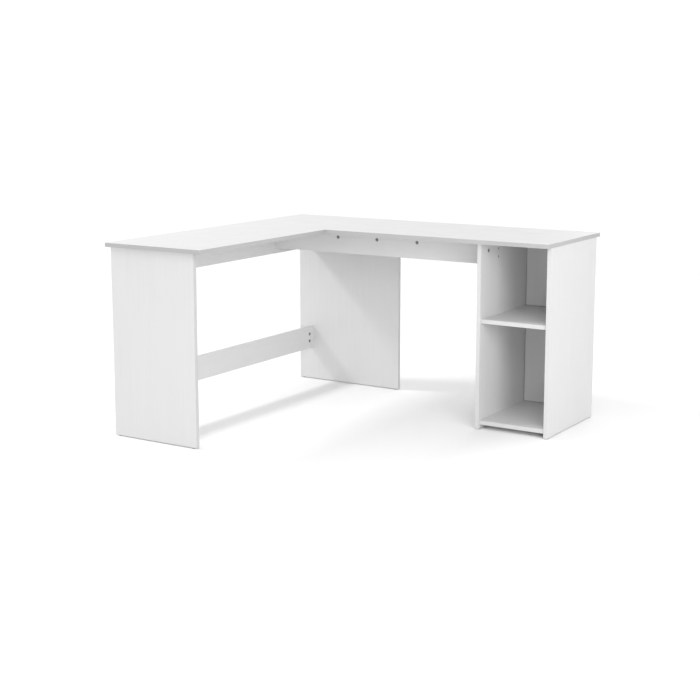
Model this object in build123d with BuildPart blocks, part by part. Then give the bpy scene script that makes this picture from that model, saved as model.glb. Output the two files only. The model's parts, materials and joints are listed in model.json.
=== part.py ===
"""Flat-pack corner desk in 16 mm board, with a two-space cabinet under the end of its main wing.

The main wing runs along X against the back wall, and the left wing runs from it towards -Y.
+Z is up. The origin is on the floor, under the middle of the desk's bounding box.
Every length is in millimetres.
"""

import os
from dataclasses import dataclass

from build123d import *

os.makedirs("parts", exist_ok=True)

# ---------------------------------------------------------------- driving dimensions

DESK_LENGTH = 1440.0  # along the back wall
DESK_DEPTH = 1315.0  # along the side wall
DESK_HEIGHT = 750.0
BOARD = 16.0  # thickness of every board
EDGE = 1.0  # thickness of the glued edging
ARRIS = 0.6  # rounding of the edging's corners

MAIN_DEPTH = 495.0  # front to back of the main wing's worktop
RETURN_WIDTH = 450.0  # outer to inner edge of the left wing's worktop
OVERHANG = 30.0  # worktop beyond the left end panel and the cabinet's front and back
INSET = 2.0  # uprights in from the worktop's wall edges
FLOOR_GAP = 3.0  # thickness of the glides

END_PANEL_WIDTH = 395.0
CORNER_PANEL_WIDTH = 520.0

RAIL_SETBACK = 60.0  # left apron and stretcher in from the worktop's outer edge
LEFT_APRON_HEIGHT = 125.0
STRETCHER_LOW = 147.0  # underside of the stretcher above the floor
STRETCHER_HEIGHT = 100.0
RIGHT_APRON_HEIGHT = 100.0
RIGHT_APRON_SETBACK = 304.0  # rear face of the right apron in from the back edge

CABINET_WIDTH = 308.0
CABINET_DEPTH = 435.0
CABINET_BOTTOM_LOW = 20.0  # underside of the bottom above the floor
SHELF_LOW = 422.0  # underside of the shelf above the floor
SHELF_SETBACK = 8.0  # shelf and bottom behind the front edges of the sides
BACK_SETBACK = 8.0  # cabinet back in front of the rear edges of the sides

# ---------------------------------------------------------------- fixings

CAM_REACH = 34.0  # joint face to the cam's centre
CAM_BORE_RADIUS = 7.5
CAM_BORE_DEPTH = 12.5
CAM_RADIUS = 7.4
CAM_HEIGHT = 12.2
CAM_SINK = 0.2  # cam's face below the board's
CAM_HEAD_ROOM = 3.8  # half width of the slot that takes the bolt's head
CAM_CROSS = (9.0, 1.8, 2.5)  # length, width and depth of its screwdriver recess

BOLT_PASSAGE_RADIUS = 4.0
BOLT_HOLE_RADIUS = 2.5
BOLT_HOLE_DEPTH = 12.0
BOLT_REACH = 36.0  # joint face to the end of the bolt's head
BOLT_HEAD_RADIUS = 3.3
BOLT_HEAD_LENGTH = 3.5
BOLT_NECK_RADIUS = 2.0
BOLT_SHANK_RADIUS = 3.2
BOLT_SHANK_REACH = 27.0  # joint face to the end of the shank
BOLT_COLLAR_RADIUS = 3.9
BOLT_COLLAR_THICKNESS = 1.5
BOLT_THREAD_RADIUS = 2.4
BOLT_THREAD_LENGTH = 11.0
BOLT_CHAMFER = 1.0

DOWEL_RADIUS = 4.0
DOWEL_HOLE_RADIUS = 4.1
DOWEL_IN_FACE = 10.0
DOWEL_IN_EDGE = 20.0
DOWEL_END_ROOM = 0.5
DOWEL_CHAMFER = 1.0

HOLE_END_ROOM = 1.0  # a blind hole beyond the tip of its screw or pin
SCREW_LENGTH_IN_APRON = 34.0
SCREW_TIP = 4.0
SCREW_CROSS = (5.0, 1.2, 2.0)
SCREW_HEAD_RADIUS = 4.8
SCREW_SHANK_RADIUS = 2.7
SCREW_THREAD_RADIUS = 2.3
SCREW_HOLE_ROOM = 0.1
SCREW_HEAD_SINK = 0.3

PLATE_LENGTH = 100.0
PLATE_WIDTH = 30.0
PLATE_THICKNESS = 2.0
PLATE_CORNER = 4.0
PLATE_SCREW_RADIUS = 1.9
PLATE_SCREW_DEPTH = 10.0
PLATE_SCREW_HEAD_RADIUS = 3.9
PLATE_SCREW_HEAD_FLAT = 2.7  # radius of the flat on top of the head
PLATE_SCREW_HEAD_HEIGHT = 2.2
PLATE_SCREW_RIM = 0.8
PLATE_SCREW_TIP = 3.0
PLATE_SCREW_CROSS = (4.0, 1.0, 1.4)
PLATE_HOLE_OFFSETS = (15.0, 38.0)  # hole centres either side of the seam

GLIDE_RADIUS = 7.0
GLIDE_FROM_END = 20.0
GLIDE_CHAMFER = 0.8
PIN_RADIUS = 1.1
PIN_LENGTH = 13.0
PIN_TIP = 3.0
PIN_IN_GLIDE = 1.5

# ---------------------------------------------------------------- where the fixings stand

FIXING_PITCH = 32.0  # between neighbouring fixings in a rail's end
LEFT_APRON_CAM_SPREAD = 32.0  # either side of the left apron's middle, at its ends
RIGHT_APRON_CAM_XS = (-318.0, -128.0, 62.0)
RIGHT_APRON_DOWEL_XS = (-500.0, 250.0)
LEFT_APRON_CAM_YS = (-450.0, -50.0, 500.0)
END_PANEL_CAM_XS = (-600.0, -370.0)
END_PANEL_DOWEL_XS = (-690.0, -485.0)
CORNER_PANEL_CAM_XS = (-600.0, -250.0)
CORNER_PANEL_DOWEL_XS = (-690.0, -425.0)
SEAM_DOWEL_XS = (-690.0, -525.0, -395.0, -290.0)
SEAM_PLATE_XS = (-590.0, -460.0, -330.0)
CABINET_TOP_CAM_INSET = 65.0  # from the front and rear edges of the cabinet's sides
CABINET_TOP_DOWEL_INSET = 25.0
LEVEL_BOARD_CAM_INSET = 60.0  # from the front and rear edges of the shelf
LEVEL_BOARD_DOWEL_INSET = 28.0
BACK_CAM_HEIGHTS = (120.0, 650.0)
BACK_DOWEL_HEIGHT = 300.0

# ---------------------------------------------------------------- derived positions

LEFT = -DESK_LENGTH / 2
RIGHT = DESK_LENGTH / 2
FRONT = -DESK_DEPTH / 2
BACK = DESK_DEPTH / 2
UNDERSIDE = DESK_HEIGHT - BOARD
SEAM_Y = BACK - MAIN_DEPTH
INNER_X = LEFT + RETURN_WIDTH

END_PANEL_FRONT = FRONT + OVERHANG
END_PANEL_REAR = END_PANEL_FRONT + BOARD
END_PANEL_X = (LEFT + INSET, LEFT + INSET + END_PANEL_WIDTH)
CORNER_PANEL_REAR = BACK - INSET
CORNER_PANEL_FRONT = CORNER_PANEL_REAR - BOARD
CORNER_PANEL_X = (LEFT + INSET, LEFT + INSET + CORNER_PANEL_WIDTH)

RAIL_OUTER = LEFT + RAIL_SETBACK
RAIL_INNER = RAIL_OUTER + BOARD
RAIL_MIDDLE = RAIL_OUTER + BOARD / 2
RIGHT_APRON_REAR = BACK - RIGHT_APRON_SETBACK
RIGHT_APRON_MIDDLE = RIGHT_APRON_REAR - BOARD / 2
STRETCHER_MIDDLE = STRETCHER_LOW + STRETCHER_HEIGHT / 2
LEFT_APRON_MIDDLE = UNDERSIDE - LEFT_APRON_HEIGHT / 2
RIGHT_APRON_MIDHEIGHT = UNDERSIDE - RIGHT_APRON_HEIGHT / 2

CABINET_RIGHT = RIGHT - INSET
CABINET_LEFT = CABINET_RIGHT - CABINET_WIDTH
CABINET_INSIDE = (CABINET_LEFT + BOARD, CABINET_RIGHT - BOARD)
CABINET_FRONT = SEAM_Y + OVERHANG
CABINET_REAR = CABINET_FRONT + CABINET_DEPTH
SHELF_FRONT = CABINET_FRONT + SHELF_SETBACK
BACK_PANEL_REAR = CABINET_REAR - BACK_SETBACK
BACK_PANEL_FRONT = BACK_PANEL_REAR - BOARD
CABINET_FLOOR = CABINET_BOTTOM_LOW + BOARD

RIGHTWARD = (1, 0, 0)
LEFTWARD = (-1, 0, 0)
BACKWARD = (0, 1, 0)
FORWARD = (0, -1, 0)
UPWARD = (0, 0, 1)
DOWNWARD = (0, 0, -1)
FROM_BASE = (Align.CENTER, Align.CENTER, Align.MIN)


# ---------------------------------------------------------------- boards


@dataclass
class Board:
    """A rectangular board: a rectangle on a plane, thickened along the plane's normal.

    across and up are its spans along the plane's own x and y directions.
    edged names the sides that carry edging, out of left, right, low and high.
    """

    plane: Plane
    across: tuple
    up: tuple
    edged: tuple

    def core_spans(self):
        """The spans that are left to the board where the edging takes up its own thickness."""
        trim = {side: EDGE for side in self.edged}
        across = (self.across[0] + trim.get("left", 0), self.across[1] - trim.get("right", 0))
        up = (self.up[0] + trim.get("low", 0), self.up[1] - trim.get("high", 0))
        return across, up


def slab(plane, across, up, mode=Mode.ADD):
    """Adds or removes one board's thickness of the rectangle across by up."""
    with BuildSketch(plane) as face:
        with Locations(((across[0] + across[1]) / 2, (up[0] + up[1]) / 2)):
            Rectangle(across[1] - across[0], up[1] - up[0])
    extrude(face.sketch, amount=BOARD, mode=mode)


def core(board):
    """The melamine-faced board itself."""
    slab(board.plane, *board.core_spans())


def edging(board):
    """The glued edging: the board's full outline with rounded corners, less its core."""
    slab(board.plane, board.across, board.up)
    fillet(edges(), ARRIS)
    slab(board.plane, *board.core_spans(), mode=Mode.SUBTRACT)


def lying(z):
    """The plane of a level board whose underside is at height z."""
    return Plane.XY.offset(z)


def facing_front(y_rear):
    """The plane of an upright board along X, whose rear face is at y_rear."""
    return Plane.XZ.offset(-y_rear)


def facing_side(x_left):
    """The plane of an upright board along Y, whose left face is at x_left."""
    return Plane.YZ.offset(x_left)


UPRIGHT_EDGES = ("left", "right", "low")
CABINET_Y = (CABINET_FRONT, CABINET_REAR)
RAIL_Y = (END_PANEL_REAR, CORNER_PANEL_FRONT)
STANDING = (FLOOR_GAP, UNDERSIDE)

DESKTOP_MAIN = Board(lying(UNDERSIDE), (LEFT, RIGHT), (SEAM_Y, BACK), ("left", "right", "low", "high"))
DESKTOP_RETURN = Board(lying(UNDERSIDE), (LEFT, INNER_X), (FRONT, SEAM_Y), ("left", "right", "low"))
END_PANEL = Board(facing_front(END_PANEL_REAR), END_PANEL_X, STANDING, UPRIGHT_EDGES)
CORNER_PANEL = Board(facing_front(CORNER_PANEL_REAR), CORNER_PANEL_X, STANDING, UPRIGHT_EDGES)
LEFT_APRON = Board(facing_side(RAIL_OUTER), RAIL_Y, (UNDERSIDE - LEFT_APRON_HEIGHT, UNDERSIDE), ("low",))
STRETCHER = Board(
    facing_side(RAIL_OUTER),
    RAIL_Y,
    (STRETCHER_LOW, STRETCHER_LOW + STRETCHER_HEIGHT),
    ("low", "high"),
)
RIGHT_APRON = Board(
    facing_front(RIGHT_APRON_REAR),
    (RAIL_INNER, CABINET_LEFT),
    (UNDERSIDE - RIGHT_APRON_HEIGHT, UNDERSIDE),
    ("low",),
)
CABINET_LEFT_SIDE = Board(facing_side(CABINET_LEFT), CABINET_Y, STANDING, UPRIGHT_EDGES)
CABINET_RIGHT_SIDE = Board(facing_side(CABINET_INSIDE[1]), CABINET_Y, STANDING, UPRIGHT_EDGES)
CABINET_BOTTOM = Board(
    lying(CABINET_BOTTOM_LOW), CABINET_INSIDE, (SHELF_FRONT, BACK_PANEL_REAR), ("low",)
)
CABINET_SHELF = Board(lying(SHELF_LOW), CABINET_INSIDE, (SHELF_FRONT, BACK_PANEL_FRONT), ("low",))
CABINET_BACK = Board(facing_front(BACK_PANEL_REAR), CABINET_INSIDE, (CABINET_FLOOR, UNDERSIDE), ())

# ---------------------------------------------------------------- where the fixings go


def joint(x, y, z, into, opens=None):
    """A fixing's own frame, centred where its axis crosses the face at which two boards meet.

    Its z runs into the board that takes the bolt, screw or dowel's short end, and its x
    towards the face that a cam is turned from.
    """
    sideways = UPWARD if into in (LEFTWARD, RIGHTWARD) else RIGHTWARD
    return Plane(origin=(x, y, z), x_dir=opens or sideways, z_dir=into)


def either_side(middle, distance):
    return (middle - distance, middle + distance)


RAIL_ENDS = ((END_PANEL_REAR, FORWARD), (CORNER_PANEL_FRONT, BACKWARD))
CABINET_WALLS = ((CABINET_INSIDE[0], LEFTWARD), (CABINET_INSIDE[1], RIGHTWARD))
END_PANEL_MIDDLE = END_PANEL_REAR - BOARD / 2
CORNER_PANEL_MIDDLE = CORNER_PANEL_REAR - BOARD / 2
BACK_PANEL_MIDDLE = BACK_PANEL_REAR - BOARD / 2
CABINET_SIDE_MIDDLES = (CABINET_LEFT + BOARD / 2, CABINET_RIGHT - BOARD / 2)
LEVEL_BOARD_MIDHEIGHTS = (CABINET_BOTTOM_LOW + BOARD / 2, SHELF_LOW + BOARD / 2)


def inset_from_ends(low, high, inset):
    return (low + inset, high - inset)


STRETCHER_CAMS = [
    joint(RAIL_MIDDLE, y, z, into, RIGHTWARD)
    for y, into in RAIL_ENDS
    for z in either_side(STRETCHER_MIDDLE, FIXING_PITCH / 2)
]
STRETCHER_DOWELS = [joint(RAIL_MIDDLE, y, STRETCHER_MIDDLE, into) for y, into in RAIL_ENDS]
LEFT_APRON_END_CAMS = [
    joint(RAIL_MIDDLE, y, z, into, RIGHTWARD)
    for y, into in RAIL_ENDS
    for z in either_side(LEFT_APRON_MIDDLE, LEFT_APRON_CAM_SPREAD)
]
LEFT_APRON_DOWELS = [joint(RAIL_MIDDLE, y, LEFT_APRON_MIDDLE, into) for y, into in RAIL_ENDS]
APRON_SCREWS = [
    joint(x, RIGHT_APRON_MIDDLE, z, into)
    for x, into in ((RAIL_INNER, RIGHTWARD), (CABINET_LEFT, LEFTWARD))
    for z in either_side(RIGHT_APRON_MIDHEIGHT, FIXING_PITCH / 2)
]

# Up into the worktop, from each board that carries it.
DESKTOP_CAMS = (
    [joint(x, RIGHT_APRON_MIDDLE, UNDERSIDE, UPWARD, FORWARD) for x in RIGHT_APRON_CAM_XS]
    + [joint(RAIL_MIDDLE, y, UNDERSIDE, UPWARD, LEFTWARD) for y in LEFT_APRON_CAM_YS]
    + [joint(x, END_PANEL_MIDDLE, UNDERSIDE, UPWARD, BACKWARD) for x in END_PANEL_CAM_XS]
    + [joint(x, CORNER_PANEL_MIDDLE, UNDERSIDE, UPWARD, FORWARD) for x in CORNER_PANEL_CAM_XS]
    + [
        joint(x, y, UNDERSIDE, UPWARD, inwards)
        for x, inwards in zip(CABINET_SIDE_MIDDLES, (RIGHTWARD, LEFTWARD))
        for y in inset_from_ends(CABINET_FRONT, CABINET_REAR, CABINET_TOP_CAM_INSET)
    ]
)
DESKTOP_DOWELS = (
    [joint(x, RIGHT_APRON_MIDDLE, UNDERSIDE, UPWARD) for x in RIGHT_APRON_DOWEL_XS]
    + [joint(x, END_PANEL_MIDDLE, UNDERSIDE, UPWARD) for x in END_PANEL_DOWEL_XS]
    + [joint(x, CORNER_PANEL_MIDDLE, UNDERSIDE, UPWARD) for x in CORNER_PANEL_DOWEL_XS]
    + [
        joint(x, y, UNDERSIDE, UPWARD)
        for x in CABINET_SIDE_MIDDLES
        for y in inset_from_ends(CABINET_FRONT, CABINET_REAR, CABINET_TOP_DOWEL_INSET)
    ]
)
SEAM_DOWELS = [joint(x, SEAM_Y, UNDERSIDE + BOARD / 2, BACKWARD) for x in SEAM_DOWEL_XS]
PLATE_SCREWS = [
    joint(x, SEAM_Y + side * offset, UNDERSIDE, UPWARD)
    for x in SEAM_PLATE_XS
    for side in (-1, 1)
    for offset in PLATE_HOLE_OFFSETS
]

# Sideways into the cabinet's walls, from its shelf and bottom and from its back.
LEVEL_BOARD_CAMS = [
    joint(x, y, z, into, DOWNWARD)
    for x, into in CABINET_WALLS
    for y in inset_from_ends(SHELF_FRONT, BACK_PANEL_FRONT, LEVEL_BOARD_CAM_INSET)
    for z in LEVEL_BOARD_MIDHEIGHTS
]
LEVEL_BOARD_DOWELS = [
    joint(x, y, z, into)
    for x, into in CABINET_WALLS
    for y in inset_from_ends(SHELF_FRONT, BACK_PANEL_FRONT, LEVEL_BOARD_DOWEL_INSET)
    for z in LEVEL_BOARD_MIDHEIGHTS
]
BACK_CAMS = [
    joint(x, BACK_PANEL_MIDDLE, z, into, BACKWARD)
    for x, into in CABINET_WALLS
    for z in BACK_CAM_HEIGHTS
]
BACK_DOWELS = [
    joint(x, BACK_PANEL_MIDDLE, BACK_DOWEL_HEIGHT, into) for x, into in CABINET_WALLS
]

GLIDE_SEATS = [
    joint(x, y, FLOOR_GAP, UPWARD)
    for span, y in ((END_PANEL_X, END_PANEL_MIDDLE), (CORNER_PANEL_X, CORNER_PANEL_MIDDLE))
    for x in inset_from_ends(*span, GLIDE_FROM_END)
] + [
    joint(x, y, FLOOR_GAP, UPWARD)
    for x in CABINET_SIDE_MIDDLES
    for y in inset_from_ends(CABINET_FRONT, CABINET_REAR, GLIDE_FROM_END)
]

# ---------------------------------------------------------------- boring


def places(joints):
    return [frame.location for frame in joints]


def bore(joints, radius, start, depth):
    """Bores each joint's axis, from start along it and for depth."""
    with Locations(*places(joints)):
        with Locations((0, 0, start)):
            Cylinder(radius, depth, align=FROM_BASE, mode=Mode.SUBTRACT)


def bore_for_cams(joints):
    """The board that holds the cams: a pocket in its face and a passage for the bolt."""
    with Locations(*places(joints)):
        with Locations(Location((BOARD / 2, 0, -CAM_REACH), (0, -90, 0))):
            Cylinder(CAM_BORE_RADIUS, CAM_BORE_DEPTH, align=FROM_BASE, mode=Mode.SUBTRACT)
    bore(joints, BOLT_PASSAGE_RADIUS, -CAM_REACH, CAM_REACH)


def bore_for_bolts(joints):
    """The board that the cam bolts are turned into."""
    bore(joints, BOLT_HOLE_RADIUS, 0, BOLT_HOLE_DEPTH)


def bore_edge_for_dowels(joints):
    depth = DOWEL_IN_EDGE + DOWEL_END_ROOM
    bore(joints, DOWEL_HOLE_RADIUS, -depth, depth)


def bore_face_for_dowels(joints):
    bore(joints, DOWEL_HOLE_RADIUS, 0, DOWEL_IN_FACE + DOWEL_END_ROOM)


def bore_for_screw_heads(joints):
    """The board that an apron screw passes through, with a countersink for its head."""
    bore(joints, SCREW_SHANK_RADIUS + SCREW_HOLE_ROOM, -BOARD, BOARD)
    with Locations(*places(joints)):
        with Locations((0, 0, -BOARD)):
            Cone(
                SCREW_HEAD_RADIUS + SCREW_HEAD_SINK + SCREW_HOLE_ROOM,
                SCREW_SHANK_RADIUS + SCREW_HOLE_ROOM,
                SCREW_HEAD_RADIUS + SCREW_HEAD_SINK - SCREW_SHANK_RADIUS,
                align=FROM_BASE,
                mode=Mode.SUBTRACT,
            )


def bore_for_screw_threads(joints):
    bore(joints, SCREW_THREAD_RADIUS + SCREW_HOLE_ROOM, 0, SCREW_LENGTH_IN_APRON + HOLE_END_ROOM)


def bore_for_plate_screws(joints):
    bore(joints, PLATE_SCREW_RADIUS + SCREW_HOLE_ROOM, 0, PLATE_SCREW_DEPTH + HOLE_END_ROOM)


def bore_for_glide_pins(joints):
    bore(joints, PIN_RADIUS + SCREW_HOLE_ROOM, 0, PIN_LENGTH + HOLE_END_ROOM)


def save(piece, name):
    """Labels a finished piece and writes it to its own STEP file."""
    piece.part.label = name
    export_step(piece.part, f"parts/{name}.step")


# ---------------------------------------------------------------- worktop

with BuildPart() as desktop_main:
    core(DESKTOP_MAIN)
    bore_for_bolts(DESKTOP_CAMS)
    bore_face_for_dowels(DESKTOP_DOWELS)
    bore_face_for_dowels(SEAM_DOWELS)
    bore_for_plate_screws(PLATE_SCREWS)
save(desktop_main, "desktop_main")

with BuildPart() as desktop_main_edging:
    edging(DESKTOP_MAIN)
    bore_face_for_dowels(SEAM_DOWELS)
save(desktop_main_edging, "desktop_main_edging")

with BuildPart() as desktop_return:
    core(DESKTOP_RETURN)
    bore_for_bolts(DESKTOP_CAMS)
    bore_face_for_dowels(DESKTOP_DOWELS)
    bore_edge_for_dowels(SEAM_DOWELS)
    bore_for_plate_screws(PLATE_SCREWS)
save(desktop_return, "desktop_return")

with BuildPart() as desktop_return_edging:
    edging(DESKTOP_RETURN)
save(desktop_return_edging, "desktop_return_edging")

# ---------------------------------------------------------------- uprights of the left wing

with BuildPart() as left_end_panel:
    core(END_PANEL)
    bore_for_cams(DESKTOP_CAMS)
    bore_edge_for_dowels(DESKTOP_DOWELS)
    bore_for_bolts(STRETCHER_CAMS + LEFT_APRON_END_CAMS)
    bore_face_for_dowels(STRETCHER_DOWELS + LEFT_APRON_DOWELS)
    bore_for_glide_pins(GLIDE_SEATS)
save(left_end_panel, "left_end_panel")

with BuildPart() as left_end_panel_edging:
    edging(END_PANEL)
    bore_for_glide_pins(GLIDE_SEATS)
save(left_end_panel_edging, "left_end_panel_edging")

with BuildPart() as corner_panel:
    core(CORNER_PANEL)
    bore_for_cams(DESKTOP_CAMS)
    bore_edge_for_dowels(DESKTOP_DOWELS)
    bore_for_bolts(STRETCHER_CAMS + LEFT_APRON_END_CAMS)
    bore_face_for_dowels(STRETCHER_DOWELS + LEFT_APRON_DOWELS)
    bore_for_glide_pins(GLIDE_SEATS)
save(corner_panel, "corner_panel")

with BuildPart() as corner_panel_edging:
    edging(CORNER_PANEL)
    bore_for_glide_pins(GLIDE_SEATS)
save(corner_panel_edging, "corner_panel_edging")

# ---------------------------------------------------------------- rails

with BuildPart() as left_apron:
    core(LEFT_APRON)
    bore_for_cams(LEFT_APRON_END_CAMS + DESKTOP_CAMS)
    bore_edge_for_dowels(LEFT_APRON_DOWELS)
    bore_for_screw_heads(APRON_SCREWS)
save(left_apron, "left_apron")

with BuildPart() as left_apron_edging:
    edging(LEFT_APRON)
save(left_apron_edging, "left_apron_edging")

with BuildPart() as left_stretcher:
    core(STRETCHER)
    bore_for_cams(STRETCHER_CAMS)
    bore_edge_for_dowels(STRETCHER_DOWELS)
save(left_stretcher, "left_stretcher")

with BuildPart() as left_stretcher_edging:
    edging(STRETCHER)
save(left_stretcher_edging, "left_stretcher_edging")

with BuildPart() as right_apron:
    core(RIGHT_APRON)
    bore_for_cams(DESKTOP_CAMS)
    bore_edge_for_dowels(DESKTOP_DOWELS)
    bore_for_screw_threads(APRON_SCREWS)
save(right_apron, "right_apron")

with BuildPart() as right_apron_edging:
    edging(RIGHT_APRON)
save(right_apron_edging, "right_apron_edging")

# ---------------------------------------------------------------- cabinet

with BuildPart() as cabinet_left_side:
    core(CABINET_LEFT_SIDE)
    bore_for_cams(DESKTOP_CAMS)
    bore_edge_for_dowels(DESKTOP_DOWELS)
    bore_for_bolts(LEVEL_BOARD_CAMS + BACK_CAMS)
    bore_face_for_dowels(LEVEL_BOARD_DOWELS + BACK_DOWELS)
    bore_for_screw_heads(APRON_SCREWS)
    bore_for_glide_pins(GLIDE_SEATS)
save(cabinet_left_side, "cabinet_left_side")

with BuildPart() as cabinet_left_side_edging:
    edging(CABINET_LEFT_SIDE)
    bore_for_glide_pins(GLIDE_SEATS)
save(cabinet_left_side_edging, "cabinet_left_side_edging")

with BuildPart() as cabinet_right_side:
    core(CABINET_RIGHT_SIDE)
    bore_for_cams(DESKTOP_CAMS)
    bore_edge_for_dowels(DESKTOP_DOWELS)
    bore_for_bolts(LEVEL_BOARD_CAMS + BACK_CAMS)
    bore_face_for_dowels(LEVEL_BOARD_DOWELS + BACK_DOWELS)
    bore_for_glide_pins(GLIDE_SEATS)
save(cabinet_right_side, "cabinet_right_side")

with BuildPart() as cabinet_right_side_edging:
    edging(CABINET_RIGHT_SIDE)
    bore_for_glide_pins(GLIDE_SEATS)
save(cabinet_right_side_edging, "cabinet_right_side_edging")

with BuildPart() as cabinet_bottom:
    core(CABINET_BOTTOM)
    bore_for_cams(LEVEL_BOARD_CAMS)
    bore_edge_for_dowels(LEVEL_BOARD_DOWELS)
save(cabinet_bottom, "cabinet_bottom")

with BuildPart() as cabinet_bottom_edging:
    edging(CABINET_BOTTOM)
save(cabinet_bottom_edging, "cabinet_bottom_edging")

with BuildPart() as cabinet_shelf:
    core(CABINET_SHELF)
    bore_for_cams(LEVEL_BOARD_CAMS)
    bore_edge_for_dowels(LEVEL_BOARD_DOWELS)
save(cabinet_shelf, "cabinet_shelf")

with BuildPart() as cabinet_shelf_edging:
    edging(CABINET_SHELF)
save(cabinet_shelf_edging, "cabinet_shelf_edging")

with BuildPart() as cabinet_back:
    core(CABINET_BACK)
    bore_for_cams(BACK_CAMS)
    bore_edge_for_dowels(BACK_DOWELS)
save(cabinet_back, "cabinet_back")

# ---------------------------------------------------------------- fixings, each kind one node


def cross_recess(length, width, depth):
    """Cuts a cross into a face, from the face along +Z of the place it is called at."""
    Box(length, width, depth, align=FROM_BASE, mode=Mode.SUBTRACT)
    Box(width, length, depth, align=FROM_BASE, mode=Mode.SUBTRACT)


def turned(*profile):
    """Adds the solid of a profile of (radius, height) points turned about Z."""
    with BuildSketch(Plane.XZ) as section:
        with BuildLine():
            Polyline(*profile, close=True)
        make_face()
    revolve(section.sketch, axis=Axis.Z)


CAM_FACE = Location((BOARD / 2 - CAM_SINK, 0, -CAM_REACH), (0, -90, 0))
CAM_SLOT_TOP = BOARD / 2 - CAM_SINK - CAM_HEIGHT
CAM_JOINTS = STRETCHER_CAMS + LEFT_APRON_END_CAMS + DESKTOP_CAMS + LEVEL_BOARD_CAMS + BACK_CAMS
DOWEL_JOINTS = (
    STRETCHER_DOWELS
    + LEFT_APRON_DOWELS
    + DESKTOP_DOWELS
    + LEVEL_BOARD_DOWELS
    + BACK_DOWELS
    + SEAM_DOWELS
)

# One cam in its joint's frame: a zinc drum, open below and towards the joint for the bolt's head.
with BuildPart() as one_cam:
    with Locations(CAM_FACE):
        Cylinder(CAM_RADIUS, CAM_HEIGHT, align=FROM_BASE)
        cross_recess(*CAM_CROSS)
    with Locations((CAM_SLOT_TOP, 0, -CAM_REACH - CAM_HEAD_ROOM)):
        Box(
            CAM_HEAD_ROOM - CAM_SLOT_TOP,
            2 * CAM_HEAD_ROOM,
            CAM_HEAD_ROOM + CAM_RADIUS,
            align=(Align.MIN, Align.CENTER, Align.MIN),
            mode=Mode.SUBTRACT,
        )

with BuildPart() as cam_locks:
    with Locations(*places(CAM_JOINTS)):
        add(one_cam.part)
save(cam_locks, "cam_locks")

# One cam bolt: thread above the joint face, collar and shank below it, then the neck and head.
BOLT_HEAD_TOP = BOLT_HEAD_LENGTH - BOLT_REACH

with BuildPart() as one_bolt:
    turned(
        (0, -BOLT_REACH),
        (BOLT_HEAD_RADIUS - BOLT_CHAMFER, -BOLT_REACH),
        (BOLT_HEAD_RADIUS, BOLT_CHAMFER - BOLT_REACH),
        (BOLT_HEAD_RADIUS, BOLT_HEAD_TOP),
        (BOLT_NECK_RADIUS, BOLT_HEAD_TOP + BOLT_CHAMFER),
        (BOLT_NECK_RADIUS, -BOLT_SHANK_REACH - BOLT_CHAMFER),
        (BOLT_SHANK_RADIUS, -BOLT_SHANK_REACH),
        (BOLT_SHANK_RADIUS, -BOLT_COLLAR_THICKNESS),
        (BOLT_COLLAR_RADIUS, -BOLT_COLLAR_THICKNESS),
        (BOLT_COLLAR_RADIUS, 0),
        (BOLT_THREAD_RADIUS, 0),
        (BOLT_THREAD_RADIUS, BOLT_THREAD_LENGTH - BOLT_CHAMFER),
        (BOLT_THREAD_RADIUS - BOLT_CHAMFER, BOLT_THREAD_LENGTH),
        (0, BOLT_THREAD_LENGTH),
    )

with BuildPart() as cam_bolts:
    with Locations(*places(CAM_JOINTS)):
        add(one_bolt.part)
save(cam_bolts, "cam_bolts")

with BuildPart() as dowels:
    with Locations(*places(DOWEL_JOINTS)):
        with Locations((0, 0, -DOWEL_IN_EDGE)):
            Cylinder(DOWEL_RADIUS, DOWEL_IN_EDGE + DOWEL_IN_FACE, align=FROM_BASE)
    chamfer(edges().filter_by(GeomType.CIRCLE), DOWEL_CHAMFER)
save(dowels, "dowels")

# One apron screw: countersunk head in the first board, thread in the apron's end.
SCREW_FACE = SCREW_HEAD_SINK - BOARD

with BuildPart() as one_screw:
    turned(
        (0, SCREW_FACE),
        (SCREW_HEAD_RADIUS, SCREW_FACE),
        (SCREW_SHANK_RADIUS, SCREW_FACE + SCREW_HEAD_RADIUS - SCREW_SHANK_RADIUS),
        (SCREW_SHANK_RADIUS, 0),
        (SCREW_THREAD_RADIUS, 0),
        (SCREW_THREAD_RADIUS, SCREW_LENGTH_IN_APRON - SCREW_TIP),
        (0, SCREW_LENGTH_IN_APRON),
    )
    with Locations((0, 0, SCREW_FACE)):
        cross_recess(*SCREW_CROSS)

with BuildPart() as apron_screws:
    with Locations(*places(APRON_SCREWS)):
        add(one_screw.part)
save(apron_screws, "apron_screws")

with BuildPart() as seam_plates:
    with BuildSketch(Plane.XY.offset(UNDERSIDE - PLATE_THICKNESS)):
        with Locations(*[(x, SEAM_Y) for x in SEAM_PLATE_XS]):
            RectangleRounded(PLATE_WIDTH, PLATE_LENGTH, PLATE_CORNER)
    extrude(amount=PLATE_THICKNESS)
    bore(PLATE_SCREWS, PLATE_SCREW_RADIUS + 2 * SCREW_HOLE_ROOM, -PLATE_THICKNESS, PLATE_THICKNESS)
save(seam_plates, "seam_plates")

# One plate screw: a head with a sloping edge under the plate, its thread in the worktop.
PLATE_SCREW_FACE = -PLATE_THICKNESS - PLATE_SCREW_HEAD_HEIGHT

with BuildPart() as one_plate_screw:
    turned(
        (0, PLATE_SCREW_FACE),
        (PLATE_SCREW_HEAD_FLAT, PLATE_SCREW_FACE),
        (PLATE_SCREW_HEAD_RADIUS, -PLATE_THICKNESS - PLATE_SCREW_RIM),
        (PLATE_SCREW_HEAD_RADIUS, -PLATE_THICKNESS),
        (PLATE_SCREW_RADIUS, -PLATE_THICKNESS),
        (PLATE_SCREW_RADIUS, PLATE_SCREW_DEPTH - PLATE_SCREW_TIP),
        (0, PLATE_SCREW_DEPTH),
    )
    with Locations((0, 0, PLATE_SCREW_FACE)):
        cross_recess(*PLATE_SCREW_CROSS)

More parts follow.
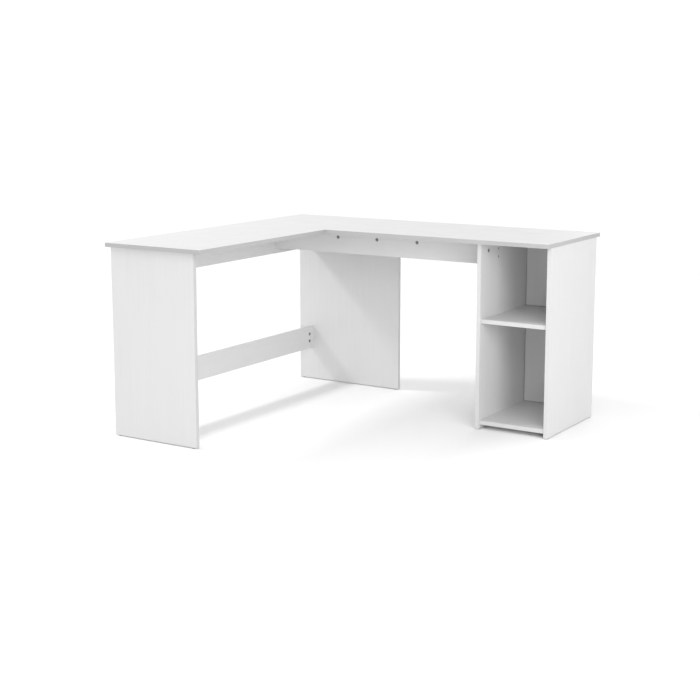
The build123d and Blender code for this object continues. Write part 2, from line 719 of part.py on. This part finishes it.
with BuildPart() as seam_plate_screws:
    with Locations(*places(PLATE_SCREWS)):
        add(one_plate_screw.part)
save(seam_plate_screws, "seam_plate_screws")

# One glide: a chamfered plastic disc with a blind hole for its pin.
with BuildPart() as one_glide:
    turned(
        (0, -FLOOR_GAP),
        (GLIDE_RADIUS - GLIDE_CHAMFER, -FLOOR_GAP),
        (GLIDE_RADIUS, -FLOOR_GAP + GLIDE_CHAMFER),
        (GLIDE_RADIUS, 0),
        (0, 0),
    )
    with Locations((0, 0, -PIN_IN_GLIDE)):
        Cylinder(PIN_RADIUS, PIN_IN_GLIDE, align=FROM_BASE, mode=Mode.SUBTRACT)

with BuildPart() as glides:
    with Locations(*places(GLIDE_SEATS)):
        add(one_glide.part)
save(glides, "glides")

# One glide pin: from inside the glide up into the board's lower edge.
with BuildPart() as one_pin:
    turned(
        (0, -PIN_IN_GLIDE),
        (PIN_RADIUS, -PIN_IN_GLIDE),
        (PIN_RADIUS, PIN_LENGTH - PIN_TIP),
        (0, PIN_LENGTH),
    )

with BuildPart() as glide_pins:
    with Locations(*places(GLIDE_SEATS)):
        add(one_pin.part)
save(glide_pins, "glide_pins")
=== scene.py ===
"""The looks of the corner desk: its materials, a pale floor, studio light and the camera.

Everything is in metres, in the CAD model's frame: +X along the main wing, +Y to the back wall.
"""

import json
from math import cos, radians, sin

import bpy
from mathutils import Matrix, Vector


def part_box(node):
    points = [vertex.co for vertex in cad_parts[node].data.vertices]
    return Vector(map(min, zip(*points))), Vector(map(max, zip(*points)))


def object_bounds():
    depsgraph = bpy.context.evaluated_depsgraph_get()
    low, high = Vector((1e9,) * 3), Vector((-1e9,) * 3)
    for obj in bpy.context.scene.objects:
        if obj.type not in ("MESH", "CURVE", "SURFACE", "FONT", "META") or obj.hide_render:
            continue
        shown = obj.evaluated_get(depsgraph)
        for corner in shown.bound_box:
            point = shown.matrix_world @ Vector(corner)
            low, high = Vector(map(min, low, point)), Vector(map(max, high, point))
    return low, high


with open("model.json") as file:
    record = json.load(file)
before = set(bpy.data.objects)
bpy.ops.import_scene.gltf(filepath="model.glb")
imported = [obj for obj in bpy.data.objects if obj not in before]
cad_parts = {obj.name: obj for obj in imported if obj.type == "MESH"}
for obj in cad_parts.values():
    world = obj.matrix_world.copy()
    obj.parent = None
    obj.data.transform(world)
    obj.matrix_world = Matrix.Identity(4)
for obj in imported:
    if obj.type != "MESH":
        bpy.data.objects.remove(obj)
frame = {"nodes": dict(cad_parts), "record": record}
cad_low, cad_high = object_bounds()
nodes = frame["nodes"]

# ---------------------------------------------------------------- node-tree helpers


class Shader:
    """A material with a Principled shader, and short ways of adding texture nodes to it."""

    def __init__(self, name, **constants):
        self.material = bpy.data.materials.new(name)
        self.material.use_nodes = True
        self.nodes = self.material.node_tree.nodes
        self.links = self.material.node_tree.links
        self.principled = self.nodes["Principled BSDF"]
        for socket, value in constants.items():
            self.principled.inputs[socket.replace("_", " ")].default_value = value
        self.place = self.nodes.new("ShaderNodeTexCoord").outputs["Object"]

    def add(self, kind, inputs=None, **settings):
        """Adds a node. A socket given as an input is linked, and any other value is set."""
        node = self.nodes.new("ShaderNode" + kind)
        for name, value in settings.items():
            setattr(node, name, value)
        for name, value in (inputs or {}).items():
            if isinstance(value, bpy.types.NodeSocket):
                self.links.new(value, node.inputs[name])
            else:
                node.inputs[name].default_value = value
        return node

    def stretched(self, scale):
        """The object's coordinates scaled differently along X, Y and Z."""
        return self.add("Mapping", {"Vector": self.place, "Scale": scale}).outputs["Vector"]

    def noise(self, scale, detail=2.0, roughness=0.5, where=None):
        """Smooth noise with about scale blobs to the metre."""
        inputs = {"Vector": where or self.place, "Scale": scale, "Detail": detail, "Roughness": roughness}
        return self.add("TexNoise", inputs).outputs["Fac"]

    def spread(self, value, low, high, out_low=0.0, out_high=1.0):
        """value from low to high becomes out_low to out_high, and stays inside them."""
        inputs = {
            "Value": value,
            "From Min": low,
            "From Max": high,
            "To Min": out_low,
            "To Max": out_high,
        }
        return self.add("MapRange", inputs).outputs["Result"]

    def mix(self, factor, one, other):
        """The colour one where factor is 0, and the colour other where it is 1."""
        node = self.add("Mix", data_type="RGBA")
        for socket, value in zip([s for s in node.inputs if s.enabled], (factor, one, other)):
            if isinstance(value, bpy.types.NodeSocket):
                self.links.new(value, socket)
            else:
                socket.default_value = value
        return next(s for s in node.outputs if s.enabled)

    def maths(self, operation, one, other):
        inputs = {0: one, 1: other}
        return self.add("Math", inputs, operation=operation).outputs["Value"]

    def bump(self, height, depth, below=None):
        """A normal for surface relief depth metres deep, on top of the relief below."""
        inputs = {"Height": height, "Strength": 1.0, "Distance": depth}
        if below is not None:
            inputs["Normal"] = below
        return self.add("Bump", inputs).outputs["Normal"]

    def use(self, **sockets):
        """Links finished values to the Principled shader."""
        for name, value in sockets.items():
            self.links.new(value, self.principled.inputs[name.replace("_", " ")])
        return self.material


def grey(value, warmth=0.0):
    """A near-neutral colour: warmth moves it a little from blue towards yellow."""
    return (value * (1 + warmth), value, value * (1 - warmth), 1.0)


# ---------------------------------------------------------------- materials

# how much light each white surface gives back, from 0 to 1
BOARD_WHITE = 0.48
EDGE_WHITE = 0.43
PANEL_EDGE_WHITE = 0.36
WORKTOP_EDGE_WHITE = 0.27

JOINT_SHADE_HALF_WIDTH = 0.0045  # metres: half the width of the painted shade along a joint, wider than a real gap, as the shade along it in the photograph is
# the colour that the painted shade along the joints darkens the board towards
JOINT_SHADE_TONE = 0.06
RAW_END_ROUGHNESS = 0.9
GRAIN_ALONG = {"X": (0.05, 1.0, 1.0), "Y": (1.0, 0.05, 1.0), "Z": (1.0, 1.0, 0.05)}


def chipboard(shader):
    """The raw cut end of a board: flat tan chips of mixed size, with dark resin between them."""
    coarse = shader.noise(scale=900, detail=3, roughness=0.65)
    flakes = shader.add("TexVoronoi", {"Vector": shader.place, "Scale": 700.0}).outputs["Color"]
    chips = shader.mix(flakes, grey(0.34, 0.22), grey(0.50, 0.20))
    return shader.mix(shader.spread(coarse, 0.35, 0.6), grey(0.22, 0.25), chips)


def painted_joint_shade(shader, lines):
    """The mask of painted shade: 1 along the lines where other boards meet this one, fading to 0 a few
    millimetres from them.

    lines gives each line's axis and its place along that axis.
    """
    axes = shader.add("SeparateXYZ", {"Vector": shader.place}).outputs
    total = 0.0
    for axis, place in lines:
        away = shader.maths("ABSOLUTE", shader.maths("SUBTRACT", axes[axis], place), 0.0)
        line = shader.spread(away, JOINT_SHADE_HALF_WIDTH * 0.2, JOINT_SHADE_HALF_WIDTH, 1.0, 0.0)
        total = shader.maths("MAXIMUM", line, total)
    return total


def melamine(name, grain, thin, shaded_joints=()):
    """White melamine-faced board. grain is the axis its faint printed grain runs along.

    thin is the axis of the board's thickness: surfaces facing other ways are its raw ends.
    The last argument lists the lines along which other boards meet the face on the low side of that axis;
    shade is painted along them.
    """
    shader = Shader(name, Specular_IOR_Level=0.42)
    along_grain = shader.stretched(GRAIN_ALONG[grain])
    streaks = shader.noise(scale=95, detail=3, roughness=0.6, where=along_grain)
    pores = shader.noise(scale=520, detail=4, roughness=0.62, where=along_grain)
    clouds = shader.noise(scale=3.2, detail=3)
    peel = shader.noise(scale=1400)
    handled = shader.noise(scale=9, detail=5, roughness=0.65)

    darker, lighter = grey(BOARD_WHITE * 0.975, 0.002), grey(BOARD_WHITE * 1.025, 0.002)
    tone = shader.mix(shader.spread(streaks, 0.3, 0.7), darker, lighter)
    tone = shader.mix(shader.spread(clouds, 0.35, 0.65, 0.0, 0.5), tone, grey(BOARD_WHITE))
    pore_tone = grey(BOARD_WHITE * 0.88, 0.004)
    tone = shader.mix(shader.spread(pores, 0.58, 0.76, 0.0, 0.5), tone, pore_tone)
    facing = shader.add("NewGeometry").outputs["Normal"]
    sideways = shader.add("SeparateXYZ", {"Vector": facing}).outputs[thin]
    # painted shade along the joints, only on the face on the low side of the thin axis, a little uneven
    # with the clouds
    if shaded_joints:
        strength = shader.spread(clouds, 0.3, 0.7, 0.75, 0.95)
        shade_mask = shader.maths("MULTIPLY", painted_joint_shade(shader, shaded_joints), strength)
        on_low_side = shader.spread(sideways, -0.4, -0.6)
        shade_mask = shader.maths("MULTIPLY", shade_mask, on_low_side)
        tone = shader.mix(shade_mask, tone, grey(JOINT_SHADE_TONE, 0.02))
    is_raw = shader.spread(shader.maths("ABSOLUTE", sideways, 0.0), 0.6, 0.4)
    colour = shader.mix(is_raw, tone, chipboard(shader))

    gloss = shader.spread(handled, 0.35, 0.7, 0.40, 0.52)
    rough = shader.add("Mix", {0: is_raw, 2: gloss, 3: RAW_END_ROUGHNESS}).outputs[0]
    relief = shader.bump(pores, depth=0.00006)
    relief = shader.bump(peel, depth=0.00002, below=relief)
    return shader.use(Base_Color=colour, Roughness=rough, Normal=relief)


def edge_banding(name, white=EDGE_WHITE):
    """White edging tape: a little glossier than the boards, with fine drag marks and small scuffs."""
    shader = Shader(name, Specular_IOR_Level=0.5)
    drag = shader.noise(scale=1100)
    scuffs = shader.noise(scale=60, detail=6, roughness=0.75)
    soft_clouds = shader.noise(scale=5)
    tone = shader.mix(shader.spread(soft_clouds, 0.3, 0.7), grey(white - 0.01), grey(white + 0.01))
    tone = shader.mix(shader.spread(scuffs, 0.66, 0.72, 0.0, 0.5), tone, grey(white * 0.84, 0.01))
    rough = shader.spread(scuffs, 0.4, 0.7, 0.34, 0.5)
    relief = shader.bump(drag, depth=0.00005)
    relief = shader.bump(scuffs, depth=0.0001, below=relief)
    return shader.use(Base_Color=tone, Roughness=rough, Normal=relief)


def cast_zinc(name):
    """Dull die-cast zinc, darker in its pores."""
    shader = Shader(name, Metallic=0.85)
    pores = shader.noise(scale=1500, detail=4, roughness=0.7)
    stain = shader.noise(scale=180, detail=3, roughness=0.6)
    tone = shader.mix(shader.spread(stain, 0.3, 0.7), grey(0.13), grey(0.21))
    tone = shader.mix(shader.spread(pores, 0.3, 0.45), grey(0.06), tone)
    rough = shader.spread(stain, 0.3, 0.7, 0.42, 0.62)
    return shader.use(Base_Color=tone, Roughness=rough, Normal=shader.bump(pores, depth=0.0001))


def plated_steel(name):
    """Dull zinc-plated steel with brushed marks and a slight yellow-blue bloom."""
    shader = Shader(name, Metallic=1.0)
    along_y = shader.stretched((1.0, 0.08, 1.0))
    brushed = shader.noise(scale=900, detail=3, roughness=0.6, where=along_y)
    bloom = shader.noise(scale=70, detail=3)
    tone = shader.mix(shader.spread(bloom, 0.35, 0.65), (0.17, 0.175, 0.185, 1), (0.22, 0.21, 0.19, 1))
    rough = shader.spread(brushed, 0.3, 0.7, 0.24, 0.42)
    return shader.use(Base_Color=tone, Roughness=rough, Normal=shader.bump(brushed, depth=0.00003))


def beech(name):
    """Bare beech: fine lengthwise grain with short darker flecks."""
    shader = Shader(name, Specular_IOR_Level=0.3)
    grain_lines = shader.noise(scale=800, detail=4, roughness=0.6)
    flecks = shader.noise(scale=2200, roughness=0.6)
    tone = shader.mix(shader.spread(grain_lines, 0.3, 0.7), (0.62, 0.42, 0.26, 1), (0.72, 0.53, 0.36, 1))
    tone = shader.mix(shader.spread(flecks, 0.62, 0.7), tone, (0.42, 0.26, 0.15, 1))
    rough = shader.spread(grain_lines, 0.3, 0.7, 0.6, 0.75)
    return shader.use(Base_Color=tone, Roughness=rough, Normal=shader.bump(grain_lines, depth=0.0001))


def moulded_plastic(name):
    """Dark grey moulded plastic with a fine spark-eroded texture, dusty where it meets the floor."""
    shader = Shader(name, Specular_IOR_Level=0.4)
    texture = shader.noise(scale=2600, detail=3, roughness=0.6)
    dust = shader.noise(scale=240, detail=4, roughness=0.7)
    tone = shader.mix(shader.spread(dust, 0.5, 0.75), grey(0.07), grey(0.16, 0.03))
    rough = shader.spread(dust, 0.4, 0.7, 0.45, 0.7)
    return shader.use(Base_Color=tone, Roughness=rough, Normal=shader.bump(texture, depth=0.00008))


ALONG_X = ("desktop_main", "right_apron", "cabinet_bottom", "cabinet_shelf")
ALONG_Y = ("desktop_return", "left_apron", "left_stretcher")
ALONG_Z = ("left_end_panel", "corner_panel", "cabinet_left_side", "cabinet_right_side")


def thinnest_axis(node):
    low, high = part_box(node)
    return min("XYZ", key=lambda axis: abs(high["XYZ".index(axis)] - low["XYZ".index(axis)]))


def wear(node, material):
    """Gives a CAD node its one material."""
    nodes[node].data.materials.clear()
    nodes[node].data.materials.append(material)


boards = {}
for grain, names in (("X", ALONG_X), ("Y", ALONG_Y), ("Z", ALONG_Z)):
    for node in names:
        thin = thinnest_axis(node)
        if (grain, thin) not in boards:
            boards[grain, thin] = melamine(f"melamine_grain_{grain}_thin_{thin}", grain, thin)
        wear(node, boards[grain, thin])

back_low, back_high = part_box("cabinet_back")
shelf_low, shelf_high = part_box("cabinet_shelf")
# lines at the back panel's edges and at the shelf, along which shade is painted on its front face
BACK_JOINT_SHADE_LINES = [("X", back_low[0]), ("X", back_high[0])]
BACK_JOINT_SHADE_LINES += [("Z", height) for height in (back_low[2], shelf_low[2], shelf_high[2], back_high[2])]
wear("cabinet_back", melamine("melamine_cabinet_back", "Z", "Y", BACK_JOINT_SHADE_LINES))

makers = {
    "white_edging": edge_banding,
    "cam_zinc": cast_zinc,
    "steel": plated_steel,
    "beech": beech,
    "glide_plastic": moulded_plastic,
}
finishes = {slot: make(slot) for slot, make in makers.items()}
for entry in frame["record"]["subparts"]:
    if entry["material_slot"] in finishes:
        wear(entry["node"], finishes[entry["material_slot"]])

for name, white, edgings in (
    ("worktop", WORKTOP_EDGE_WHITE, ("desktop_main_edging", "desktop_return_edging")),
    ("panels", PANEL_EDGE_WHITE, ("left_end_panel_edging", "corner_panel_edging")),
):
    tape = edge_banding(f"white_edging_{name}", white)
    for node in edgings:
        wear(node, tape)

# ---------------------------------------------------------------- stage, light and camera

FLOOR_SIZE = 60.0
FLOOR_NEAR_WHITE = 0.76
FLOOR_FAR_WHITE = 0.95
FLOOR_NEAR, FLOOR_FAR = 3.0, 6.5  # metres from the desk's middle, where the tones begin to change and end


def floor_material():
    """White studio paper with a hardly visible mottle.

    It is darker around the desk, where the lights are strong enough to wash out shadows.
    """
    shader = Shader("studio_floor", Specular_IOR_Level=0.1)
    mottle = shader.noise(scale=2.0, detail=4)
    near_tone = shader.mix(mottle, grey(FLOOR_NEAR_WHITE - 0.005), grey(FLOOR_NEAR_WHITE + 0.005))
    far_tone = shader.mix(mottle, grey(FLOOR_FAR_WHITE - 0.005), grey(FLOOR_FAR_WHITE + 0.005))
    away = shader.add("VectorMath", {0: shader.place}, operation="LENGTH").outputs["Value"]
    tone = shader.mix(shader.spread(away, FLOOR_NEAR, FLOOR_FAR), near_tone, far_tone)
    paper = shader.noise(scale=600)
    rough = shader.spread(paper, 0.3, 0.7, 0.75, 0.85)
    return shader.use(Base_Color=tone, Roughness=rough, Normal=shader.bump(paper, depth=0.00005))


bpy.ops.mesh.primitive_plane_add(size=FLOOR_SIZE, location=(0, 0, cad_low.z))
floor = bpy.context.object
floor.name = "studio_floor"
floor.data.materials.append(floor_material())

WORLD_STRENGTH = 1.06
VIEW_GAMMA = 1.2
world = bpy.data.worlds.new("studio_white")
world.use_nodes = True
world.node_tree.nodes["Background"].inputs["Color"].default_value = (1, 1, 1, 1)
world.node_tree.nodes["Background"].inputs["Strength"].default_value = WORLD_STRENGTH
bpy.context.scene.world = world
bpy.context.scene.view_settings.view_transform = "Standard"
bpy.context.scene.view_settings.gamma = VIEW_GAMMA

CENTRE = (cad_low + cad_high) / 2
LIGHT_DISTANCE = 4.5


def direction(azimuth, elevation):
    """A unit vector from the desk: azimuth 0 is towards -Y, the front, and 90 towards +X."""
    a, e = radians(azimuth), radians(elevation)
    return Vector((sin(a) * cos(e), -cos(a) * cos(e), sin(e)))


def softbox(name, azimuth, elevation, width, height, watts):
    """A rectangular area light that faces the middle of the desk, and isn't seen itself."""
    data = bpy.data.lights.new(name, "AREA")
    data.shape = "RECTANGLE"
    data.size = width
    data.size_y = height
    data.energy = watts
    lamp = bpy.data.objects.new(name, data)
    towards = direction(azimuth, elevation)
    lamp.location = CENTRE + towards * LIGHT_DISTANCE
    lamp.rotation_euler = towards.to_track_quat("Z", "Y").to_euler()
    lamp.visible_camera = False
    bpy.context.scene.collection.objects.link(lamp)


# azimuth and elevation in degrees, width and height in metres, power in watts
softbox("key_left", -79, 40, 0.7, 0.7, 108)
softbox("fill_low", 40, 3, 1.0, 0.5, 29)
softbox("fill_high", 30, 50, 1.5, 1.5, 7)
softbox("fill_middle", 45, 30, 1.5, 1.5, 51)
softbox("fill_right", 60, 10, 1.5, 1.5, 75)
softbox("fill_front", -3, 12, 0.4, 0.4, 9)
softbox("rim_back", 180, 20, 1.5, 1.5, 18)

CAMERA_PLACE = (2.844, -4.594, 1.361)
CAMERA_HEADING = 32.18  # degrees to the left of +Y
CAMERA_TILT = 9.62  # degrees below level
LENS_MM = 72.1
SENSOR_MM = 36.0
SHIFT_Y = -0.05

camera_data = bpy.data.cameras.new("camera")
camera_data.sensor_width = SENSOR_MM
camera_data.lens = LENS_MM
camera_data.shift_y = SHIFT_Y
camera = bpy.data.objects.new("camera", camera_data)
camera.location = CAMERA_PLACE
camera.rotation_euler = (radians(90 - CAMERA_TILT), 0, radians(CAMERA_HEADING))
bpy.context.scene.collection.objects.link(camera)
bpy.context.scene.camera = camera
